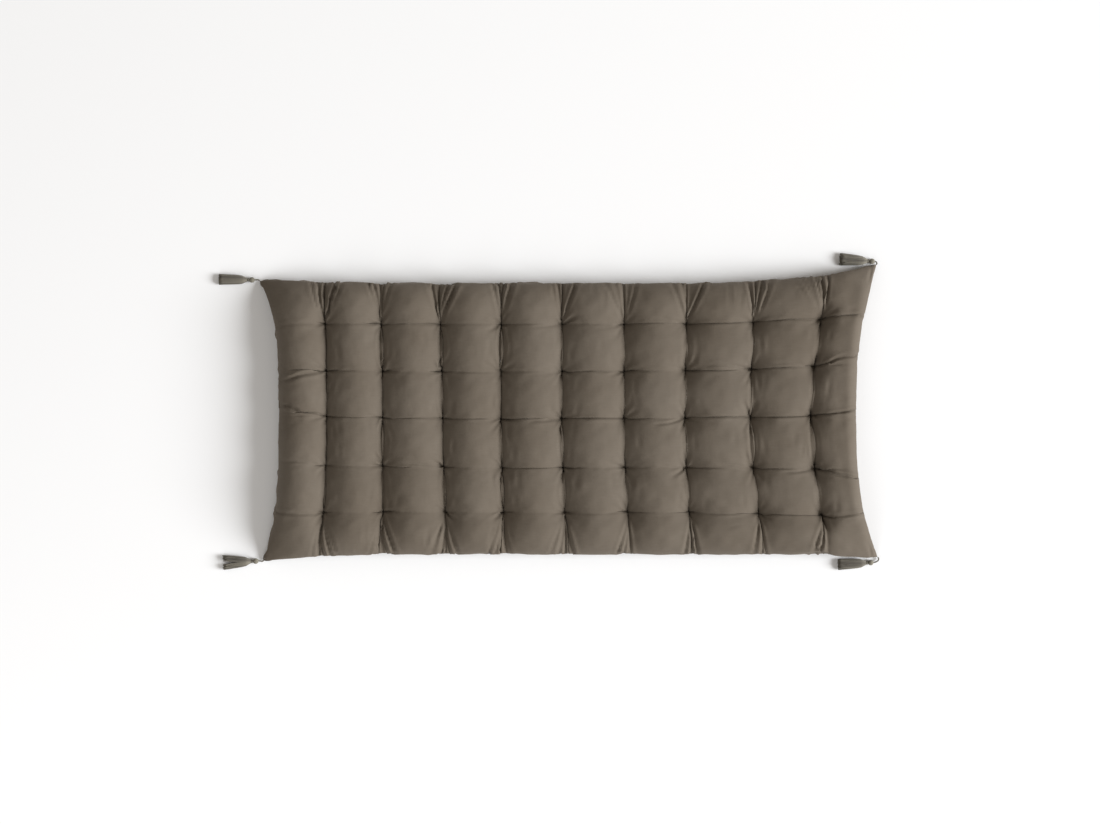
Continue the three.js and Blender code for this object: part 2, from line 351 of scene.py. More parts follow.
# A sheet of the cover as it lies on its filling: a grid of x, y and z in mm. A cell rises from its tufts
# to its crown as the sum of its rises along and across and their product, weighted by how full the
# grooves are. Quarters of ellipses round the whole down to the seam.
def fillingSurface(u, v, upper):
    x, y = planPlaces(u, v)
    uu, vv = np.meshgrid(u, v)
    inAlong = np.minimum(uu, cellsAlong - uu)
    inAcross = np.minimum(vv, cellsAcross - vv)
    corner = (np.abs(2 * uu / cellsAlong - 1) * np.abs(2 * vv / cellsAcross - 1)) ** body["cornerDroop"]
    seam = body["seam"] + (body["cornerSeam"] - body["seam"]) * corner
    grooveShape = (
        np.interp(uu, range(cellsAlong + 1), columnLines[key]) for key in ("saddle", "roundness", "softness")
    )
    columnSaddle, roundness, softness = grooveShape
    along = cellRise(uu, cellsAlong, roundness, softness)
    across = cellRise(vv, cellsAcross, body["rowRoundness"])
    rowSaddle = body["rowSaddle"]
    full = rowSaddle * along + columnSaddle * across + (1 - rowSaddle - columnSaddle) * along * across
    edge = body["upperEdge"] if upper else body["lowerEdge"]
    endEdge = np.where(uu < cellsAlong / 2, body["leftEdge"], body["rightEdge"])
    rounding = quarterRound(inAlong, endEdge) * quarterRound(inAcross, edge)
    if upper:
        cellsFromTip = np.hypot(inAlong, inAcross)
        stuffed = body["earFilling"] + (1 - body["earFilling"]) * cellsFromTip / body["earReach"]
        height = body["tuftTop"] + (body["crown"] - body["tuftTop"]) * full
        rounding = rounding * np.minimum(1, stuffed)
    else:
        sink = body["underSink"]
        height = np.maximum(0, body["tuftUnder"] * (1 - full - sink) / (1 - sink))
    return np.stack([x, y, seam + (height - seam) * rounding], -1)


# A bell curve: 1 on its line, falling away over width.
def bell(distance, width):
    return np.exp(-((distance / width) ** 2))


foldShape = {
    "ridgeAside": 2.1,  # from the valley's line, in widths of the valley
    "ridgeWidth": 1.3,
    "ridgeHeight": 0.38,  # as a share of the valley's depth
}


# A fold's section: a narrow valley between two low ridges, each a bell curve.
def foldSection(distance, width):
    aside, ridgeWidth = foldShape["ridgeAside"] * width, foldShape["ridgeWidth"] * width
    ridges = bell(distance - aside, ridgeWidth) + bell(distance + aside, ridgeWidth)
    return foldShape["ridgeHeight"] * ridges - bell(distance, width)


# 0 outside first to last and 1 inside, with soft ends.
def softSpan(w, first, last, softness):
    return np.clip(np.minimum(w - first, last - w) / softness, 0, 1)


# One random number up to size to either side, or count of them.
def eitherWay(rng, size, count=None):
    return rng.uniform(-size, size, count)


# A digit of the tables as a share of the sharpest fold.
def strengthOf(digit):
    return int(digit) / 9


# Each kind of crease has its sizes in mm, where nothing else is said.
grooveSizes = {
    "fade": 0.06,  # how softly the creases end at the tufts, in cells
    "bowFullness": 0.8,  # how lens-shaped the folds part, as a power: low is fuller
    "slotBow": 3.5,  # how far the thin line wanders to one side, and then to both
    "slotSway": 1.5,
    "slotDepth": 7,
    "slotWidth": 2,
    "slotHidden": 0.9,  # share of the thin line that the strongest lens hides
    "rise": 3,  # the cloth that stands up inside the lens
    "riseWidth": 2.4,
    "rightReach": (7, 10),  # least and most that the folds stand off to each side
    "leftReach": (5, 8),
    "rightFolds": ((0.5, 7, 1.6), (1, 4, 2.2)),  # share of the reach, depth and width
    "leftFold": (5, 2),  # depth and width
    "outerFold": (2, 1.2, 3),  # share of the right reach, depth and width
}


# The thin line down a groove, and the folds that part like a lens between one tuft and the next. Their
# distance from the line is the sine of the way between the tufts, to a power.
def grooveFolds(right, between, slot, lens, rng):
    sizes = grooveSizes
    inside = softSpan(between, 0, 1, sizes["fade"])
    bow = np.sin(np.pi * np.clip(between, 0, 1)) ** sizes["bowFullness"]
    sway = eitherWay(rng, sizes["slotBow"]) * bow
    sway += eitherWay(rng, sizes["slotSway"]) * np.sin(2 * np.pi * between) * inside
    shown = 1 - sizes["slotHidden"] * lens * bow
    depth = -sizes["slotDepth"] * slot * inside * shown * bell(right - sway, sizes["slotWidth"])
    depth += sizes["rise"] * lens * bow * bell(right, sizes["riseWidth"])
    rightReach, leftReach = rng.uniform(*sizes["rightReach"]), rng.uniform(*sizes["leftReach"])
    for share, deep, width in sizes["rightFolds"]:
        depth += deep * lens * inside * foldSection(right - share * rightReach * bow, width)
    deep, width = sizes["leftFold"]
    depth += deep * lens * inside * foldSection(right + leftReach * bow, width)
    share, deep, width = sizes["outerFold"]
    depth += deep * lens**2 * bow * foldSection(right - share * rightReach * bow, width)
    return depth


besideSizes = {
    "creases": 3,  # beside each groove, from one tuft to the next
    "sides": (-1, 1, 1),  # two of three are on the right
    "aside": (9, 30),
    "lean": 14,  # how far one would lean over a whole cell
    "start": 0.6,  # where the last may start, in cells
    "length": (0.25, 0.5),  # in cells
    "fade": 0.15,  # in cells
    "depth": (0.6, 1.8),
    "width": 3.2,
}


# Faint short creases beside a groove, each a straight line that leans a little off it.
def besideFolds(right, between, rng):
    sizes = besideSizes
    depth = np.zeros_like(right)
    for n in range(sizes["creases"]):
        aside = rng.choice(sizes["sides"]) * rng.uniform(*sizes["aside"])
        lean = eitherWay(rng, sizes["lean"])
        first = rng.uniform(0, sizes["start"])
        span = softSpan(between, first, first + rng.uniform(*sizes["length"]), sizes["fade"])
        line = aside + lean * (between - first)
        depth += rng.uniform(*sizes["depth"]) * span * foldSection(right - line, sizes["width"])
    return depth


fanSizes = {
    "start": 0.06,  # how far from the tuft a strong pleat may start, as a share of the way
    "weakStart": 0.3,  # how much farther out the weakest starts
    "swell": 5,  # how fast a pleat swells, over the whole way
    "wander": 2.5,
    "bend": (0.8, 1.05),  # power of t that its line follows
    "depth": 7.5,
    "width": 1.3,  # at the tuft
    "widening": 1.7,  # from there to the seam
}


# Pleats that fan out from a tuft to the seam: t is 0 at the tuft and 1 at the seam, and a pleat's distance
# from the tuft's x is its landing times t to a power.
def fanPleats(right, t, digits, rng):
    sizes = fanSizes
    depth = np.zeros_like(right)
    for landing, digit in zip(fanLandings, digits):
        strength = strengthOf(digit)
        start = rng.uniform(0, sizes["start"]) + sizes["weakStart"] * (1 - strength)
        line = (landing + eitherWay(rng, sizes["wander"])) * t ** rng.uniform(*sizes["bend"])
        swell = np.clip((t - start) * sizes["swell"], 0, 1)
        width = sizes["width"] + sizes["widening"] * t
        depth += sizes["depth"] * strength * swell * foldSection(right - line, width)
    return depth


rowSizes = {
    "wander": 2,
    "fade": 0.04,  # how softly the crease ends at the tufts, and its two parts on their ways, in cells
    "leftFade": 0.4,
    "rightFade": 0.12,
    "leftEnd": (0.45, 1),  # where the left part ends and the right part starts, in cells
    "rightStart": (0.15, 0.5),
    "sides": (-1, -1, 1),  # two of three right parts come in from below
    "aside": (5, 13),  # how far off the left part the right one starts
    "closeness": (0.15, 1),  # shares of that, for one half of the creases and the other
    "turn": 0.62,  # share of a half wave that the right part runs through
    "hollow": (1.8, 6),  # depth and width of the soft hollow that both lie in
    "leftDepth": 4.8,
    "rightDepth": 5.6,
    "width": 2.1,
}


# A thin crease along a row: one part leaves the left tuft, and another comes in beside it to the right
# tuft. The left one wanders by a half wave, and the right one keeps aside from it by a part of a half wave.
def rowCrease(above, w, strength, rng):
    sizes = rowSizes
    inside = softSpan(w, 0, 1, sizes["fade"])
    wander = eitherWay(rng, sizes["wander"]) * np.sin(np.pi * w)
    leftEnd, rightStart = rng.uniform(*sizes["leftEnd"]), rng.uniform(*sizes["rightStart"])
    aside = rng.choice(sizes["sides"]) * rng.uniform(*sizes["aside"]) * rng.choice(sizes["closeness"])
    deep, width = sizes["hollow"]
    hollow = -deep * bell(above - wander, width)
    leftSpan = softSpan(w, 0, leftEnd, sizes["leftFade"])
    rightSpan = softSpan(w, rightStart, 1, sizes["rightFade"])
    leftPart = leftSpan * foldSection(above - wander, sizes["width"])
    toTuft = np.clip((1 - w) / (1 - rightStart), 0, 1)
    rightLine = wander + aside * np.sin(np.pi * toTuft * sizes["turn"])
    rightPart = rightSpan * foldSection(above - rightLine, sizes["width"])
    depth = hollow + sizes["leftDepth"] * leftPart
    depth += sizes["rightDepth"] * strength * rightPart
    return strength * inside * depth


sideSizes = {
    "wander": 3,  # over one half wave, and then over three
    "waver": 2,
    "swell": 12,  # how fast it swells, over the whole way
    "depth": 8,
    "width": 2.5,
    "branchShare": 0.3,  # of the landing, which the branch takes before it goes to the other side
    "branchAside": 7,
    "branchEnd": 0.8,  # in cells
    "branchFade": 0.3,
    "branchDepth": 2.4,
    "branchWidth": 1.8,
}


# The same out to a side seam, with a weak branch: w is 0 at the tuft and 1 at the seam, where the crease
# lands off the row. Both run straight there, but for the waves that the crease wanders by.
def sideCrease(above, w, landing, strength, rng):
    sizes = sideSizes
    line = landing * w + eitherWay(rng, sizes["wander"]) * np.sin(np.pi * w)
    line += eitherWay(rng, sizes["waver"]) * np.sin(3 * np.pi * w)
    swell = np.clip(w * sizes["swell"], 0, 1)
    depth = sizes["depth"] * strength * swell * foldSection(above - line, sizes["width"])
    otherSide = -1 if landing >= 0 else 1
    branch = landing * w * sizes["branchShare"] + otherSide * sizes["branchAside"] * w
    span = softSpan(w, 0, sizes["branchEnd"], sizes["branchFade"])
    return depth + sizes["branchDepth"] * strength * span * foldSection(above - branch, sizes["branchWidth"])


# How far ahead and how far to the left a place is, seen along an angle.
def seenAlong(x, y, angle):
    return x * np.cos(angle) + y * np.sin(angle), y * np.cos(angle) - x * np.sin(angle)


tuftSizes = {
    "pit": (4.5, 7),  # depth and width
    "slit": (3, 2),  # depth and width of the slit that its thread pulls into the row
    "slitBelow": 0.5,
    "slitSpan": (-8, 20, 10),  # its ends to the left and the right, and how softly they fade
    "turns": (0, 0, *[np.pi / 2] * 5),  # two creases lie along the row and five up and down the groove
    "turnSpread": 0.36,  # radians
    "length": (22, 42),
    "start": 4,  # how far out a crease has all its depth
    "depth": (2.5, 7),
    "width": 1.5,
    "widening": 0.08,  # with each mm outwards
}


# The pit at a tuft, a bell round it, and straight stress creases that run out from it and fade.
def tuftCreases(right, above, rng):
    sizes = tuftSizes
    deep, width = sizes["pit"]
    depth = -deep * bell(np.hypot(right, above), width)
    deep, width = sizes["slit"]
    depth -= deep * bell(above + sizes["slitBelow"], width) * softSpan(right, *sizes["slitSpan"])
    for turn in sizes["turns"]:
        angle = turn + rng.choice([0, np.pi]) + rng.normal(0, sizes["turnSpread"])
        length = rng.uniform(*sizes["length"])
        ahead, beside = seenAlong(right, above, angle)
        fade = np.clip(ahead / sizes["start"], 0, 1) * np.clip(1 - ahead / length, 0, 1)
        width = sizes["width"] + sizes["widening"] * np.abs(ahead)
        depth += rng.uniform(*sizes["depth"]) * fade * foldSection(beside, width)
    return depth


waveSizes = {
    "sets": ((34, 0.45), (15, 0.2)),  # length and height
    "waves": 12,  # in each set
    "spread": (0.7, 1.5),  # how many times the set's length a wave may have
    "pile": 3,  # about how high so many waves stand where they meet, in heights of one
}


# Soft unevenness: sine waves of about one length, laid over each other in random directions.
def softWaves(x, y, length, height, rng):
    waves = np.zeros_like(x)
    for n in range(waveSizes["waves"]):
        angle, phase = rng.uniform(0, 2 * np.pi, 2)
        stretch = 2 * np.pi / (length * rng.uniform(*waveSizes["spread"]))
        waves += np.sin(stretch * seenAlong(x, y, angle)[0] + phase)
    return waves * height / waveSizes["pile"]


# How much the creases lower the upper sheet, in mm, from the tables.
def creaseDepths(u, v, x, y):
    rng, faintRng = np.random.default_rng(cloth["seed"]), np.random.default_rng(cloth["seed"] + 1)
    uu, vv = np.meshgrid(u, v)
    columnX = columnPlaces(v)
    rowY = linePlaces(rowLines, 2 * u / cellsAlong - 1)
    tuftX = columnPlaces(np.arange(cellsAcross + 1))
    depth = sum(softWaves(x, y, length, height, rng) for length, height in waveSizes["sets"])
    for column in range(1, cellsAlong):
        right = x - columnX[column][:, None]
        slot = strengthOf(creases["slot"][column - 1])
        for gap, digit in enumerate(creases["lens"][column - 1]):
            depth += grooveFolds(right, vv - gap - 1, slot, strengthOf(digit), rng)
            depth += besideFolds(right, vv - gap - 1, faintRng)
        for tuft, toSeam, fan in ((1, 1 - vv, "nearFan"), (-2, vv - cellsAcross + 1, "farFan")):
            fromTuft, digits = x - tuftX[column][tuft], creases[fan][column - 1]
            depth += fanPleats(fromTuft, np.clip(toSeam, 0, 1), digits, rng)
    for row in range(1, cellsAcross):
        above = y - rowY[row][None, :]
        strengths = [strengthOf(digit) for digit in creases["row"][row - 1]]
        for cell in range(1, cellsAlong - 1):
            depth += rowCrease(above, uu - cell, strengths[cell], rng)
        for end, toSeam, landings in ((0, 1 - uu, leftLandings), (-1, uu - cellsAlong + 1, rightLandings)):
            depth += sideCrease(above, np.clip(toSeam, 0, 1), landings[row - 1], strengths[end], rng)
        for column in range(1, cellsAlong):
            depth += tuftCreases(x - tuftX[column][row], above, rng)
    for middleX, middleY, turn, length, deep in looseCreases:
        ahead, beside = seenAlong(x - middleX, y - middleY, np.radians(turn))
        depth += deep * bell(ahead, length / 2) * foldSection(beside, looseWidth)
    return depth


# One sheet of the cover, ready to settle: its grid, the form it is cut to, and what holds it. The lower
# one has the seam of the upper one, which is its partner.
def makeSheet(partner=None):
    upper = partner is None
    share = 1 if upper else 2
    u = gridLines(cloth["linesAlong"], cloth["bunchAlong"])[::share]
    v = gridLines(cloth["linesAcross"], cloth["bunchAcross"])[::share]
    filling = fillingSurface(u, v, upper)
    other = fillingSurface(u, v, not upper)
    form = filling.copy()
    if upper:
        depth = creaseDepths(u, v, filling[..., 0], filling[..., 1])
        form[..., 2] += depth
        rng = np.random.default_rng(cloth["seed"])
        knots = np.arange(columnLines["high"][0], columnLines["high"][-1], cloth["rippleLength"])
        for edge, followed, outwards, way, unevenness, drawnIn in seamSides:
            ripple = np.interp(filling[edge][:, followed], knots, rng.normal(size=len(knots)))
            w, cells = ((u, cellsAlong), (v, cellsAcross))[followed]
            besideTufts = 1 - cellRise(w, cells, cloth["seamRoundness"])
            outwardShift = cloth["seamPucker"] * depth[edge] + unevenness * ripple - drawnIn * besideTufts
            form[edge][:, outwards] += way * outwardShift
    else:
        for edge, *rest in seamSides:
            form[edge] = partner["form"][edge][::2]
    alongLengths = np.linalg.norm(np.diff(form, axis=1), axis=-1) * cloth["ease"]
    acrossLengths = np.linalg.norm(np.diff(form, axis=0), axis=-1) * cloth["ease"]
    slantLengths = np.hypot(
        (alongLengths[1:] + alongLengths[:-1]) / 2, (acrossLengths[:, 1:] + acrossLengths[:, :-1]) / 2
    )
    tuftRows = np.nonzero(np.isclose(v, np.round(v)))[0][1:-1]
    tuftColumns = np.nonzero(np.isclose(u, np.round(u)))[0][1:-1]
    tufts = np.ix_(tuftRows, tuftColumns)
    free = np.ones(filling.shape[:2])
    free[tufts] = 0
    # the cloth of one cell doesn't cross the lines of tufts beside it
    columnX = columnPlaces(v).T
    cell = np.clip(np.floor(u + 1e-9).astype(int), 0, cellsAlong - 1)
    onLine = np.isclose(u, np.round(u))
    left, right = columnX[:, cell].copy(), columnX[:, cell + 1].copy()
    left[:, onLine] = columnX - cloth["lineSway"]
    right[:, onLine] = columnX + cloth["lineSway"]
    if upper:
        between = np.clip(form[..., 2] - other[..., 2], 0, cloth["gap"])
        lowest, highest = other[..., 2] + between, filling[..., 2] + cloth["puffLimit"]
    else:
        lowest, highest = np.zeros_like(free), filling[..., 2] + cloth["puffLimit"]
    sheet = {
        "u": u, "v": v, "places": form.copy(), "filling": filling, "form": form, "free": free,
        "along": alongLengths, "across": acrossLengths, "slant": slantLengths,
        "left": left, "right": right, "lowest": lowest, "highest": highest,
    }
    sheet = {key: value.astype(np.float32) for key, value in sheet.items()}
    sheet["outwards"] = 1 if upper else -1
    sheet["tufts"] = tufts
    sheet["speed"] = np.zeros_like(sheet["places"])
    return sheet


# Moves each pair of neighbours along the line between them until they are their rest length apart.
def holdLengths(places, free, first, second, rest, firmness=1):
    apart = places[second] - places[first]
    length = np.sqrt(np.einsum("ijk,ijk->ij", apart, apart)) + 1e-6
    firstFree, secondFree = free[first], free[second]
    share = firmness * (length - rest) / (length * (firstFree + secondFree + 1e-6))
    places[first] += apart * (share * firstFree)[..., None]
    places[second] -= apart * (share * secondFree)[..., None]


# The outward normal at each grid point, from the differences along and across the grid.
def gridNormals(places, outwards):
    along = np.gradient(places, axis=1)
    across = np.gradient(places, axis=0)
    normal = np.cross(along, across) * outwards
    return normal / (np.linalg.norm(normal, axis=-1, keepdims=True) + 1e-9)


# One step of the cloth: it drifts on, the filling lifts it where it is slack, its threads take up their
# lengths again, its stiffness evens out sharp bends, and its tufts and neighbours hold it.
def settleStep(sheet):
    places, free = sheet["places"], sheet["free"]
    before = places.copy()
    places += cloth["inertia"] * sheet["speed"]
    short = sheet["outwards"] * (sheet["filling"][..., 2] - places[..., 2])
    lift = cloth["puff"] * np.clip(short / cloth["puffReach"] + cloth["puffRest"], -cloth["puffSink"], 1)
    places += gridNormals(places, sheet["outwards"]) * (lift * free)[..., None]
    everyRow, everyColumn = slice(None), slice(None)
    for odd in (0, 1):
        first, second = slice(odd, -1, 2), slice(odd + 1, None, 2)
        holdLengths(places, free, (everyRow, first), (everyRow, second), sheet["along"][:, odd::2])
        holdLengths(places, free, (first, everyColumn), (second, everyColumn), sheet["across"][odd::2])
        for near, far in ((slice(None, -1), slice(1, None)), (slice(1, None), slice(None, -1))):
            holdLengths(places, free, (first, near), (second, far), sheet["slant"][odd::2], cloth["shear"])
    bending, threadHold = cloth["bending"], cloth["threadHold"]
    alongStiffness = np.array([bending, threadHold, bending], np.float32) * free[:, 1:-1, None]
    acrossStiffness = np.array([threadHold, bending, bending], np.float32) * free[1:-1, :, None]
    places[:, 1:-1] += alongStiffness * ((places[:, 2:] + places[:, :-2]) / 2 - places[:, 1:-1])
    places[1:-1] += acrossStiffness * ((places[2:] + places[:-2]) / 2 - places[1:-1])
    places[..., 2] += cloth["formHold"] * (sheet["form"][..., 2] - places[..., 2])
    places[sheet["tufts"]] = sheet["form"][sheet["tufts"]]
    places[..., 0] = np.clip(places[..., 0], sheet["left"], sheet["right"])
    places[..., 2] = np.clip(places[..., 2], sheet["lowest"], sheet["highest"])
    sheet["speed"] = places - before


# The two sheets meet in the seam, which is softly held to its drawn-in line.
def sewSeam(upper, lower):
    hold = np.array(cloth["seamHold"], np.float32)
    for edge, *rest in seamSides:
        every2nd = tuple(slice(None, None, 2) if isinstance(part, slice) else part for part in edge)
        seam = upper["places"][edge]
        seam += hold * (upper["form"][edge] - seam)
        seam[::2] = (upper["places"][every2nd] + lower["places"][edge]) / 2
        upper["places"][edge] = seam
        lower["places"][edge] = seam[::2]
    for row in (0, -1):
        for column in (0, -1):
            upper["places"][row, column] = upper["filling"][row, column]
            lower["places"][row, column] = upper["filling"][row, column]


# Takes out ripples as short as two grid lines: away from the rows of tufts, each point goes half way to
# the mean of its neighbours before and after it across the mattress.
def easeRipples(sheet):
    places = sheet["places"]
    share = np.sqrt(np.abs(np.sin(np.pi * sheet["v"][1:-1])))[:, None, None]
    places[1:-1] += share * (places[2:] + places[:-2] - 2 * places[1:-1]) / 4


def settleCover():
    upper = makeSheet()
    lower = makeSheet(upper)
    for step in range(cloth["steps"]):
        settleStep(upper)
        settleStep(lower)
        sewSeam(upper, lower)
    report(f"cloth settled: it still moves {np.abs(upper['speed']).mean():.4f} mm a step")
    easeRipples(upper)
    return upper, lower


def quadFaces(index):
    return np.stack([index[:-1, :-1], index[:-1, 1:], index[1:, 1:], index[1:, :-1]], -1).reshape(-1, 4)


# Faces of the half-as-fine lower grid. Along the seam each takes in the upper grid's extra point.
def lowerFaces(fine, coarse):
    faces = quadFaces(coarse[1:-1, 1:-1]).tolist()
    for turn in range(4):
        f, c = np.rot90(fine, turn), np.rot90(coarse, turn)
        side = np.stack([c[0, 1:-2], f[0, 3:-3:2], c[0, 2:-1], c[1, 2:-1], c[1, 1:-2]], -1)
        faces += side.tolist()
        faces.append([c[0, 0], f[0, 1], c[0, 1], c[1, 1], c[1, 0], f[1, 0]])
    return [face[::-1] for face in faces]


# A piece from vertices in mm in the frame, and faces. uv has one pair for each corner of each face, and
# shade one number for each vertex.
def makePiece(name, vertices, faces, material, uv, shade=None):
    mesh = bpy.data.meshes.new(name)
    mesh.from_pydata((vertices * mm).tolist(), [], faces)
    layer = mesh.uv_layers.new(name="cut")
    layer.data.foreach_set("uv", np.asarray(uv, np.float32).ravel())
    if shade is not None:
        layer = mesh.attributes.new("shade", "FLOAT", "POINT")
        layer.data.foreach_set("value", np.asarray(shade, np.float32))
    mesh.shade_smooth()
    mesh.materials.append(material)
    piece = bpy.data.objects.new(name, mesh)
    bpy.context.scene.collection.objects.link(piece)
    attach(piece, "root")
    return piece


# Plain-woven cotton, piece-dyed taupe: matt, with threads that cross over and under, a few thicker
# ones, and a soft bloom where the light grazes it. The weave's height is the sine of the warp times the
# sine of the weft, and its tone is noise drawn out along the threads, added to soft patches.
def coverCotton():
    look = {
        "dark": "595045",
        "light": "645c52",
        "bloom": "b3a89a",
        "finish": {"Roughness": 0.88, "Sheen Weight": 0.18, "Sheen Roughness": 0.45},
        "threadSpacing": 0.8,  # mm, twice the real spacing, so that it shows close up
        "threadRelief": (0.3, 0.15),  # strength, and depth in mm
        "slubLength": 30,  # mm
        "slubs": 0.4,  # how much they show beside the soft patches of the dye
        "patches": 9,  # in a metre
        "tones": (0.4, 1),  # the sums of slubs and patches that give the dark and the light colour
        "crumple": 14,  # mm between soft unevennesses
        "crumpleRelief": (0.35, 1.2),
    }
    material = newMaterial("coverCotton")
    cut = addNode(material, "ShaderNodeUVMap", uv_map="cut").outputs["UV"]
    place = addNode(material, "ShaderNodeTexCoord").outputs["Object"]
    spacing = look["threadSpacing"] * mm
    threads = maths(material, "MULTIPLY", cut, (np.pi / spacing,) * 3, kind="ShaderNodeVectorMath")
    split = addNode(material, "ShaderNodeSeparateXYZ", {0: threads}).outputs
    warp = maths(material, "SINE", split["X"])
    weft = maths(material, "SINE", split["Y"])
    weave = maths(material, "MULTIPLY", warp, weft)
    perSlub = (1 / (look["slubLength"] * mm), 1 / (look["threadSpacing"] * 2 * mm), 1)
    longThreads = maths(material, "MULTIPLY", cut, perSlub, kind="ShaderNodeVectorMath")
    slubs = noise(material, longThreads, 1, Detail=3)
    patches = noise(material, place, look["patches"], Detail=5)
    mix = maths(material, "MULTIPLY_ADD", slubs, look["slubs"], patches)
    darkest, lightest = look["tones"]
    tones = {"Value": mix, "From Min": darkest, "From Max": lightest}
    tone = addNode(material, "ShaderNodeMapRange", tones).outputs[0]
    colour = darkToLight(material, tone, look)
    crumple = noise(material, place, 1 / (look["crumple"] * mm), Detail=4, Roughness=0.6)
    softRelief = bump(material, crumple, look["crumpleRelief"])
    relief = bump(material, weave, look["threadRelief"], Normal=softRelief)
    bloom = {"Sheen Tint": linear(look["bloom"])}
    return finishMaterial(material, {"Base Color": colour, "Normal": relief, **look["finish"], **bloom})


# The cover's two sheets as one closed mesh.
def makeMattress():
    upper, lower = settleCover()
    fine = np.arange(upper["places"][..., 0].size).reshape(upper["places"].shape[:2])
    coarse = fine[::2, ::2].copy()
    inside = coarse[1:-1, 1:-1]
    inside[:] = fine.size + np.arange(inside.size).reshape(inside.shape)
    vertices = np.vstack([upper["places"].reshape(-1, 3), lower["places"][1:-1, 1:-1].reshape(-1, 3)])
    cutCell = np.array(cloth["cutCell"]) * mm
    uv = [
        np.stack(np.meshgrid(u, v), -1).reshape(-1, 2) * cutCell
        for u, v in ((upper["u"], upper["v"]), (lower["u"][1:-1], lower["v"][1:-1]))
    ]
    faces = quadFaces(fine).tolist() + lowerFaces(fine, coarse)
    cornerUV = np.vstack(uv)[np.concatenate(faces)]
    mattress = makePiece(
        "mattressCover", vertices + mattressMiddle, faces, coverCotton(), cornerUV
    )
    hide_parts("mattress")
    return upper, lower


upperSheet, lowerSheet = makeMattress()
report("mattress cover")

# Points from their coordinates, where one number may stand for a whole array.
def points(x, y, z):
    return np.stack(np.broadcast_arrays(x, y, z), -1)


def unit(vectors):
    return vectors / np.linalg.norm(vectors, axis=-1, keepdims=True)


# Yarns as tubes: a circle carried along each path, square to it. paths holds yarns x rings x 3 in mm, and
# reference is a direction across them. Gives vertices, faces, the uv of each corner as mm along and turns
# round, and each vertex's shade.
def yarnTubes(paths, reference, radius, sides, shade):
    count, rings = paths.shape[:2]
    tangent = np.gradient(paths, axis=1)
    side = unit(np.cross(tangent, reference))
    other = unit(np.cross(side, tangent))
    turn = 2 * np.pi * np.arange(sides) / sides
    ring = side[:, :, None] * np.cos(turn)[:, None] + other[:, :, None] * np.sin(turn)[:, None]
    radii = np.broadcast_to(radius, (count, rings))
    vertices = paths[:, :, None] + ring * radii[..., None, None]
    index = np.arange(count * rings * sides).reshape(count, rings, sides)
    first, second = index[:, :-1], index[:, 1:]
    quads = np.stack([first, second, np.roll(second, -1, 2), np.roll(first, -1, 2)], -1).reshape(-1, 4)
    caps = np.concatenate([index[:, 0], index[:, -1, ::-1]])
    steps = np.linalg.norm(np.diff(paths, axis=1), axis=-1)
    along = np.concatenate([np.zeros((count, 1)), np.cumsum(steps, axis=1)], 1)[..., None]
    around = np.arange(sides) / sides
    near, far = np.broadcast_arrays(along[:, :-1], along[:, 1:])
    near, far = (np.broadcast_to(value, first.shape) for value in (near, far))
    here, there = (np.broadcast_to(value, first.shape) for value in (around, around + 1 / sides))
    quadUV = np.stack([near, here, far, here, far, there, near, there], -1).reshape(-1, 2)
    capUV = np.zeros((caps.size, 2))
    shades = np.broadcast_to(np.reshape(shade, (-1, 1, 1)), index.shape)
    return vertices.reshape(-1, 3), quads.tolist() + caps.tolist(), np.vstack([quadUV, capUV]), shades.ravel()


# Several lots of tubes as one.
def joinTubes(lots):
    vertices, faces, uv, shades = [], [], [], []
    for lotVertices, lotFaces, lotUV, lotShades in lots:
        start = sum(len(part) for part in vertices)
        faces += [[corner + start for corner in face] for face in lotFaces]
        vertices.append(lotVertices)
        uv.append(lotUV)
        shades.append(lotShades)
    return np.vstack(vertices), faces, np.vstack(uv), np.concatenate(shades)


# Cotton yarn of two twisted plies, dyed with the cover: matt and a little greyer, and each yarn a touch
# lighter or darker than the next. Its fine slanting ply lines are the sine of the way along it plus the
# turn round it.
def twistedYarn():
    look = {
        "dark": "55514a",
        "light": "858175",
        "finish": {"Roughness": 0.92, "Sheen Weight": 0.15, "Sheen Roughness": 0.5},
        "plyPitch": 3.2,  # mm along the yarn for one turn of a ply
        "plies": 2,
        "plyRelief": (0.45, 0.15),
        "phaseSpread": 60,  # radians, so that no two yarns beside each other twist in step
    }
    material = newMaterial("twistedYarn")
    shade = addNode(material, "ShaderNodeAttribute", attribute_name="shade").outputs["Fac"]
    colour = darkToLight(material, shade, look)
    cut = addNode(material, "ShaderNodeUVMap", uv_map="cut").outputs["UV"]
    split = addNode(material, "ShaderNodeSeparateXYZ", {0: cut}).outputs
    along = maths(material, "MULTIPLY", split["X"], 2 * np.pi / look["plyPitch"])
    around = maths(material, "MULTIPLY", split["Y"], 2 * np.pi * look["plies"])
    phase = maths(material, "ADD", along, around)
    plies = maths(material, "SINE", maths(material, "MULTIPLY_ADD", shade, look["phaseSpread"], phase))
    relief = bump(material, plies, look["plyRelief"])
    return finishMaterial(material, {"Base Color": colour, "Normal": relief, **look["finish"]})


yarnOfTassels = twistedYarn()

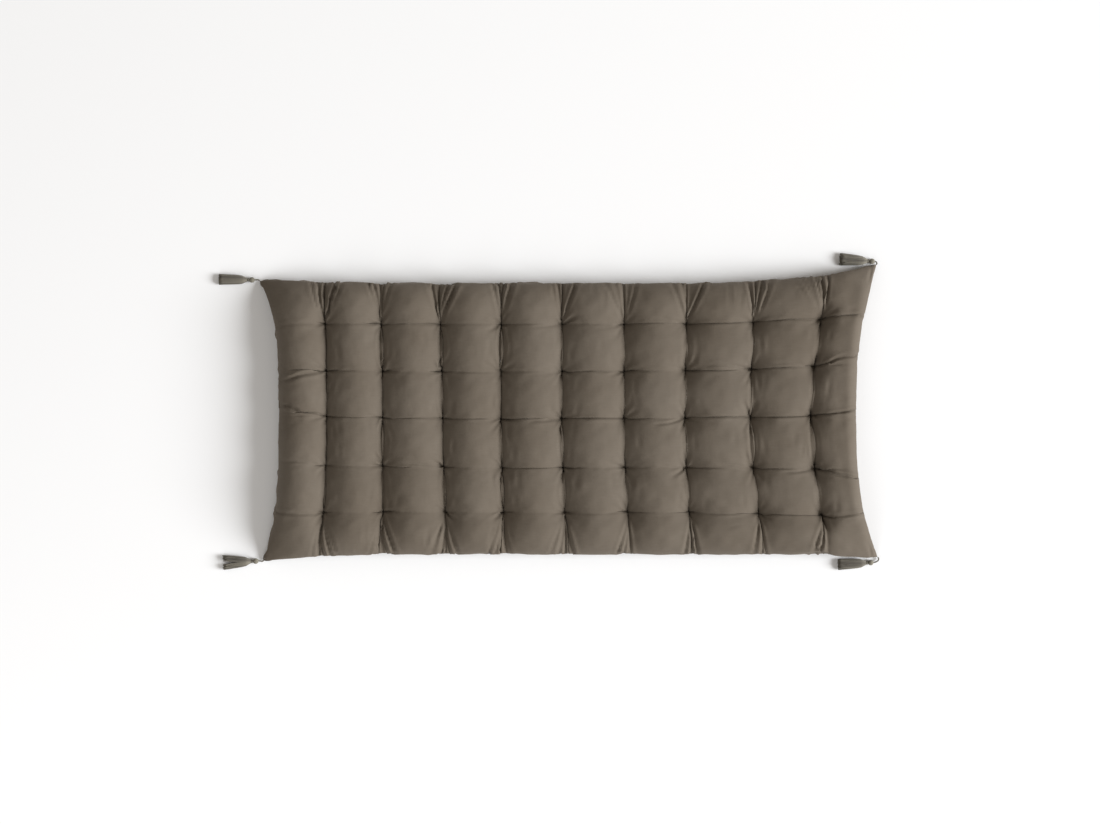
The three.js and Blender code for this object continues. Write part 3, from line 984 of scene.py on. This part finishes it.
# The tassels. Each lies along its own x from its head to its tip, and all the sizes are in mm.
tassels = {
    "name": ("far_left", "near_left", "far_right", "near_right"),
    "column": (0, 0, 10, 10),  # the corner it hangs from
    "row": (6, 0, 6, 0),
    "turn": (179, 182.5, 176, 183.5),  # degrees
    "headX": (-8.8, -9.5, -2.5, -8),  # from the corner
    "headY": (1.2, -1, 6, -9.8),
    "spread": (1, 1.45, 1.18, 1.04),  # how many times its usual width the tip has
    "split": (0, 32, 0, 0),  # how deeply the tip has parted in two
    "ragged": (0.5, 2, 2.2, 1),  # how unevenly its yarns lie
}
tasselSeed = 5
clearance = 0.3  # between one part and the next
yarnSides = 5
core = {"sides": 16, "shade": 0.4}  # of the head and the neck
cordSizes = {
    "strand": 0.75,  # radius
    "pitch": 5,  # along the cord for one turn of its strands
    "rings": 33,
    "sides": 7,
    "shades": (0.4, 0.6),
}
headSizes = {
    "length": 11.5,
    "width": 11,
    "flat": 1.2,  # how much the floor flattens its underside
    "yarns": 26,
    "yarn": 0.75,  # radius
    "span": (0.09, 0.91),  # of the yarns, as shares of the half turn from pole to pole
    "swirl": 0.5,  # how far they turn round it on their way, as a share of that half turn
    "stray": 0.05,  # radians
    "pointing": 0.8,  # how much a yarn's outward direction leans to the poles: 1 on a ball
    "rings": 11,
    "shades": (0.6, 0.5),  # the darkest yarn's, and how much more the lightest has
    "coreSpan": (0.02, 0.98),
    "coreRings": 10,
    "coreDepth": 1,  # how far inside the head the core lies
    "coreFloor": 0.4,  # its least height above the floor
}
neckSizes = {
    "length": 3,
    "width": 7,
    "turns": 5,
    "turnRings": 12,  # in one turn
    "crowding": 1.15,  # how many times its share of the length a turn is thick
    "taper": 0.3,  # how much closer in the first and the last turn lie
    "sides": 6,
    "shade": 0.6,
    "coreRings": 4,
    "coreDepth": 0.6,
}
skirtSizes = {
    "length": 55,
    "rings": 8,
    "ringBunch": 0.85,  # how evenly they lie along it, as a power: under 1 for closer at the tip
    "yarn": 0.56,  # radius at the tip
    "thinning": 0.1,  # how much thicker it is at the neck, as a share
    "layers": ((48, 1), (38, 0.78), (26, 0.54), (12, 0.28)),  # yarns, and how far out they lie
    "roundness": 1.25,  # over 1 flattens the skirt's top and underside
    "splitWidth": 9,
    "shortening": 0.012,  # a yarn is about twice this share shorter than the skirt, or more if ragged
    "sway": (0.1, 5),  # how far a yarn sways round the skirt, and its wave from end to end, in radians
    "swayStarts": 6.3,  # where in that wave a yarn may start, in radians
    "stray": 0.05,  # radians
    "clumps": (0.05, 4, 3),  # their depth, how many there are and how far they turn
    "sunk": 0.05,  # how far in a yarn may lie
    "shades": (0.5, 0.3, 0.3),  # the middle one, and how far off it a clump and then a yarn may be
    "shadeClumps": 3,
    "shadeStarts": 6,  # radians
    "lightness": 0.8,  # of the whole skirt beside the other yarns
}
skirtSections = {
    "along": (0, 0.09, 0.22, 0.5, 0.8, 1),
    "width": (7.5, 13.5, 18, 19, 20, 20.5),
    "height": (7, 10, 12, 12, 11, 10),
    "lift": (2, 0.6, 0, 0, 0, 0),
}
centreHeight = (headSizes["width"] - headSizes["flat"]) / 2
upwards = np.array([0, 0, 1.0])


# The skirt's yarns: each keeps its angle and its share of the way out in a flattened round section, which
# widens from the neck to the tip. Sines along it make it sway and draw yarns together in clumps.
def skirtTubes(spread, split, ragged, rng):
    sizes = skirtSizes
    radius, length = sizes["yarn"], sizes["length"]
    layers = sizes["layers"]
    angles = [2 * np.pi * (np.arange(count) + rng.random()) / count for count, share in layers]
    angle = np.concatenate(angles)[:, None]
    out = np.concatenate([np.full(count, share) for count, share in layers])[:, None]
    tip = 1 - sizes["shortening"] * ragged * rng.gamma(2, 1, angle.shape)
    along = np.linspace(0, 1, sizes["rings"]) ** sizes["ringBunch"] * tip
    loose = along**2 * ragged
    reach, bends = sizes["sway"]
    sway = reach * loose * np.sin(bends * along + rng.uniform(0, sizes["swayStarts"], angle.shape))
    sway += sizes["stray"] * loose * rng.normal(size=angle.shape)
    depth, clumps, turning = sizes["clumps"]
    clump = 1 + depth * np.sin(clumps * angle + turning * along) * along
    clump -= sizes["sunk"] * rng.random(angle.shape)
    sideways = out * clump * np.cos(angle + sway)
    upright = out * clump * np.sin(angle + sway)
    sections = {key: np.interp(along, skirtSections["along"], skirtSections[key]) for key in skirtSections}
    halfWidth = sections["width"] / 2 * (1 + (spread - 1) * along) - radius
    gap = sizes["splitWidth"] / 2 * np.clip((along * length - length + split) / max(split, 1), 0, 1)
    lateral = np.sign(np.cos(angle)) * gap + (halfWidth - gap) * sideways
    height = sections["height"] - 2 * radius
    rise = np.clip((1 + sizes["roundness"] * upright) / 2, 0, 1)
    paths = points(along * length, lateral, sections["lift"] + radius + height * rise)
    thickness = radius * (1 + sizes["thinning"] - sizes["thinning"] * along)
    middle, clumpShade, yarnShade = sizes["shades"]
    start = rng.uniform(0, sizes["shadeStarts"])
    shade = middle + clumpShade * np.sin(sizes["shadeClumps"] * angle[:, 0] + start)
    shade += eitherWay(rng, yarnShade, len(angle))
    return yarnTubes(paths, upwards, thickness, yarnSides, sizes["lightness"] * np.clip(shade, 0, 1))


# The head: yarns that run over a ball from pole to pole, round a core that closes the gaps.
def headTubes(rng):
    sizes = headSizes
    radius, halfLength, halfWidth = sizes["yarn"], sizes["length"] / 2, sizes["width"] / 2
    turn = (2 * np.pi * np.arange(sizes["yarns"]) / sizes["yarns"])[:, None]
    pole = np.linspace(*sizes["span"], sizes["rings"])[None] * np.pi
    swirl = turn + sizes["swirl"] * pole + rng.normal(0, sizes["stray"], turn.shape)
    sideways, upright = np.sin(pole) * np.cos(swirl), np.sin(pole) * np.sin(swirl)
    reach = (halfWidth - radius) * np.sin(pole)
    paths = points(
        halfLength - (halfLength - radius) * np.cos(pole),
        reach * np.cos(swirl),
        np.maximum(radius, centreHeight + reach * np.sin(swirl)),
    )
    least, more = sizes["shades"]
    outwards = points(-sizes["pointing"] * np.cos(pole), sideways, upright)
    yarns = yarnTubes(paths, outwards, radius, yarnSides, least + more * rng.random(len(turn)))
    pole = np.linspace(*sizes["coreSpan"], sizes["coreRings"]) * np.pi
    line = points(halfLength - (halfLength - sizes["coreDepth"]) * np.cos(pole), 0, centreHeight)
    reach = (halfWidth - sizes["coreDepth"]) * np.sin(pole)
    ball = yarnTubes(line[None], upwards, reach, core["sides"], core["shade"])
    ball[0][:, 2] = np.maximum(ball[0][:, 2], sizes["coreFloor"])
    return joinTubes([yarns, ball])


# The binding: one yarn wound round a core as a helix.
def neckTubes():
    sizes = neckSizes
    radius = sizes["length"] / sizes["turns"] / 2 * sizes["crowding"]
    turn = np.linspace(0, 2 * np.pi * sizes["turns"], sizes["turnRings"] * sizes["turns"] + 1)
    along = radius + (sizes["length"] - 2 * radius) * turn / turn[-1]
    reach = sizes["width"] / 2 - radius - sizes["taper"] * np.abs(2 * turn / turn[-1] - 1)
    radial = points(0, np.cos(turn), np.sin(turn))
    path = points(along, 0, centreHeight) + radial * reach[:, None]
    wound = yarnTubes(path[None], radial[None], radius, sizes["sides"], sizes["shade"])
    line = points(np.linspace(0, sizes["length"], sizes["coreRings"]), 0, centreHeight)
    reach = sizes["width"] / 2 - sizes["coreDepth"]
    return joinTubes([wound, yarnTubes(line[None], upwards, reach, core["sides"], core["shade"])])


# The cord: two strands wound round each other as helices, along a cubic curve from corner to head.
def cordTubes(start, end, leave, arrive):
    radius = cordSizes["strand"]
    t = np.linspace(0, 1, cordSizes["rings"])[:, None]
    line = (1 - t) ** 3 * start + 3 * (1 - t) ** 2 * t * (start + leave)
    line += 3 * (1 - t) * t**2 * (end + arrive)
    line += t**3 * end
    steps = np.linalg.norm(np.diff(line, axis=0), axis=1)
    twist = 2 * np.pi * np.append(0, np.cumsum(steps)) / cordSizes["pitch"]
    side = unit(np.cross(np.gradient(line, axis=0), upwards))
    strands = [
        line + radius * (side * np.cos(twist + phase)[:, None] + upwards * np.sin(twist + phase)[:, None])
        for phase in (0, np.pi)
    ]
    return yarnTubes(np.array(strands), upwards, radius, cordSizes["sides"], cordSizes["shades"])


# Lays tubes along a tassel's own x at a place on the floor.
def layDown(tubes, place, turn):
    vertices, *rest = tubes
    cos, sin = np.cos(turn), np.sin(turn)
    x, y, z = vertices.T
    return points(place[0] + x * cos - y * sin, place[1] + x * sin + y * cos, place[2] + z), *rest


def makeTassels():
    rng = np.random.default_rng(tasselSeed)
    cornerX, cornerY = planPlaces(np.array([0, cellsAlong]), np.array([0, cellsAcross]))
    for name, column, row, degrees, headX, headY, spread, split, ragged in zip(*tassels.values()):
        isRight, isFar = int(column > 0), int(row > 0)
        corner = mattressMiddle + [cornerX[isFar, isRight], cornerY[isFar, isRight], body["cornerSeam"]]
        turn = np.radians(degrees)
        outward = np.array([2 * isRight - 1, 2 * isFar - 1, 0]) / np.sqrt(2)
        pointing = np.array([np.cos(turn), np.sin(turn), 0])
        head = np.array([corner[0] + headX, corner[1] + headY, 0])
        neck = head + pointing * (headSizes["length"] + clearance)
        skirt = neck + pointing * (neckSizes["length"] + clearance)
        start = corner + outward * clearance
        end = head - pointing * clearance + upwards * centreHeight
        bow = np.linalg.norm(end - start) / 2
        parts = {
            "cord": cordTubes(start, end, outward * bow, -pointing * bow),
            "head": layDown(headTubes(rng), head, turn),
            "neck": layDown(neckTubes(), neck, turn),
            "skirt": layDown(skirtTubes(spread, split, ragged, rng), skirt, turn),
        }
        for part, (vertices, faces, uv, shade) in parts.items():
            pieceName = f"tassel_{name}_{part}_yarns"
            piece = makePiece(pieceName, vertices, faces, yarnOfTassels, uv, shade)
            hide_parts(f"tassel_{name}_{part}")


makeTassels()
report("tassels")

# Tuft stitches: three short threads over each tuft, above and below.
stitches = {
    "threads": 3,
    "length": 6.5,  # mm
    "rings": 7,
    "radius": 0.45,
    "apart": 0.8,
    "lift": 0.6,  # how far the middle of a thread stands off the cloth
    "drop": 1.8,  # and how far its ends dip below that
    "turn": 0.25,  # radians
    "shade": 0.1,
    "seed": 8,
}


# Each thread is a short bend, highest in its middle, that dips by the square of the way to its ends.
def makeStitches():
    rng = np.random.default_rng(stitches["seed"])
    radius, t = stitches["radius"], np.linspace(-1, 1, stitches["rings"])
    paths = []
    for sheet in (upperSheet, lowerSheet):
        tufts = sheet["places"][sheet["tufts"]].reshape(-1, 3)
        for n in range(stitches["threads"]):
            turn = rng.normal(0, stitches["turn"], len(tufts))[:, None]
            aside = (n - (stitches["threads"] - 1) / 2) * stitches["apart"]
            ahead = stitches["length"] / 2 * t
            x = tufts[:, :1] + ahead * np.cos(turn) - aside * np.sin(turn)
            y = tufts[:, 1:2] + ahead * np.sin(turn) + aside * np.cos(turn)
            z = tufts[:, 2:] + sheet["outwards"] * (stitches["lift"] + radius - stitches["drop"] * t**2)
            paths.append(points(x, y, z))
    paths = np.concatenate(paths) + mattressMiddle
    vertices, faces, uv, shade = yarnTubes(paths, upwards, radius, yarnSides, stitches["shade"])
    makePiece("tuftStitches", vertices, faces, yarnOfTassels, uv, shade)


makeStitches()
report("tuft stitches")

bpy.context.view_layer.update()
report("sizes written")
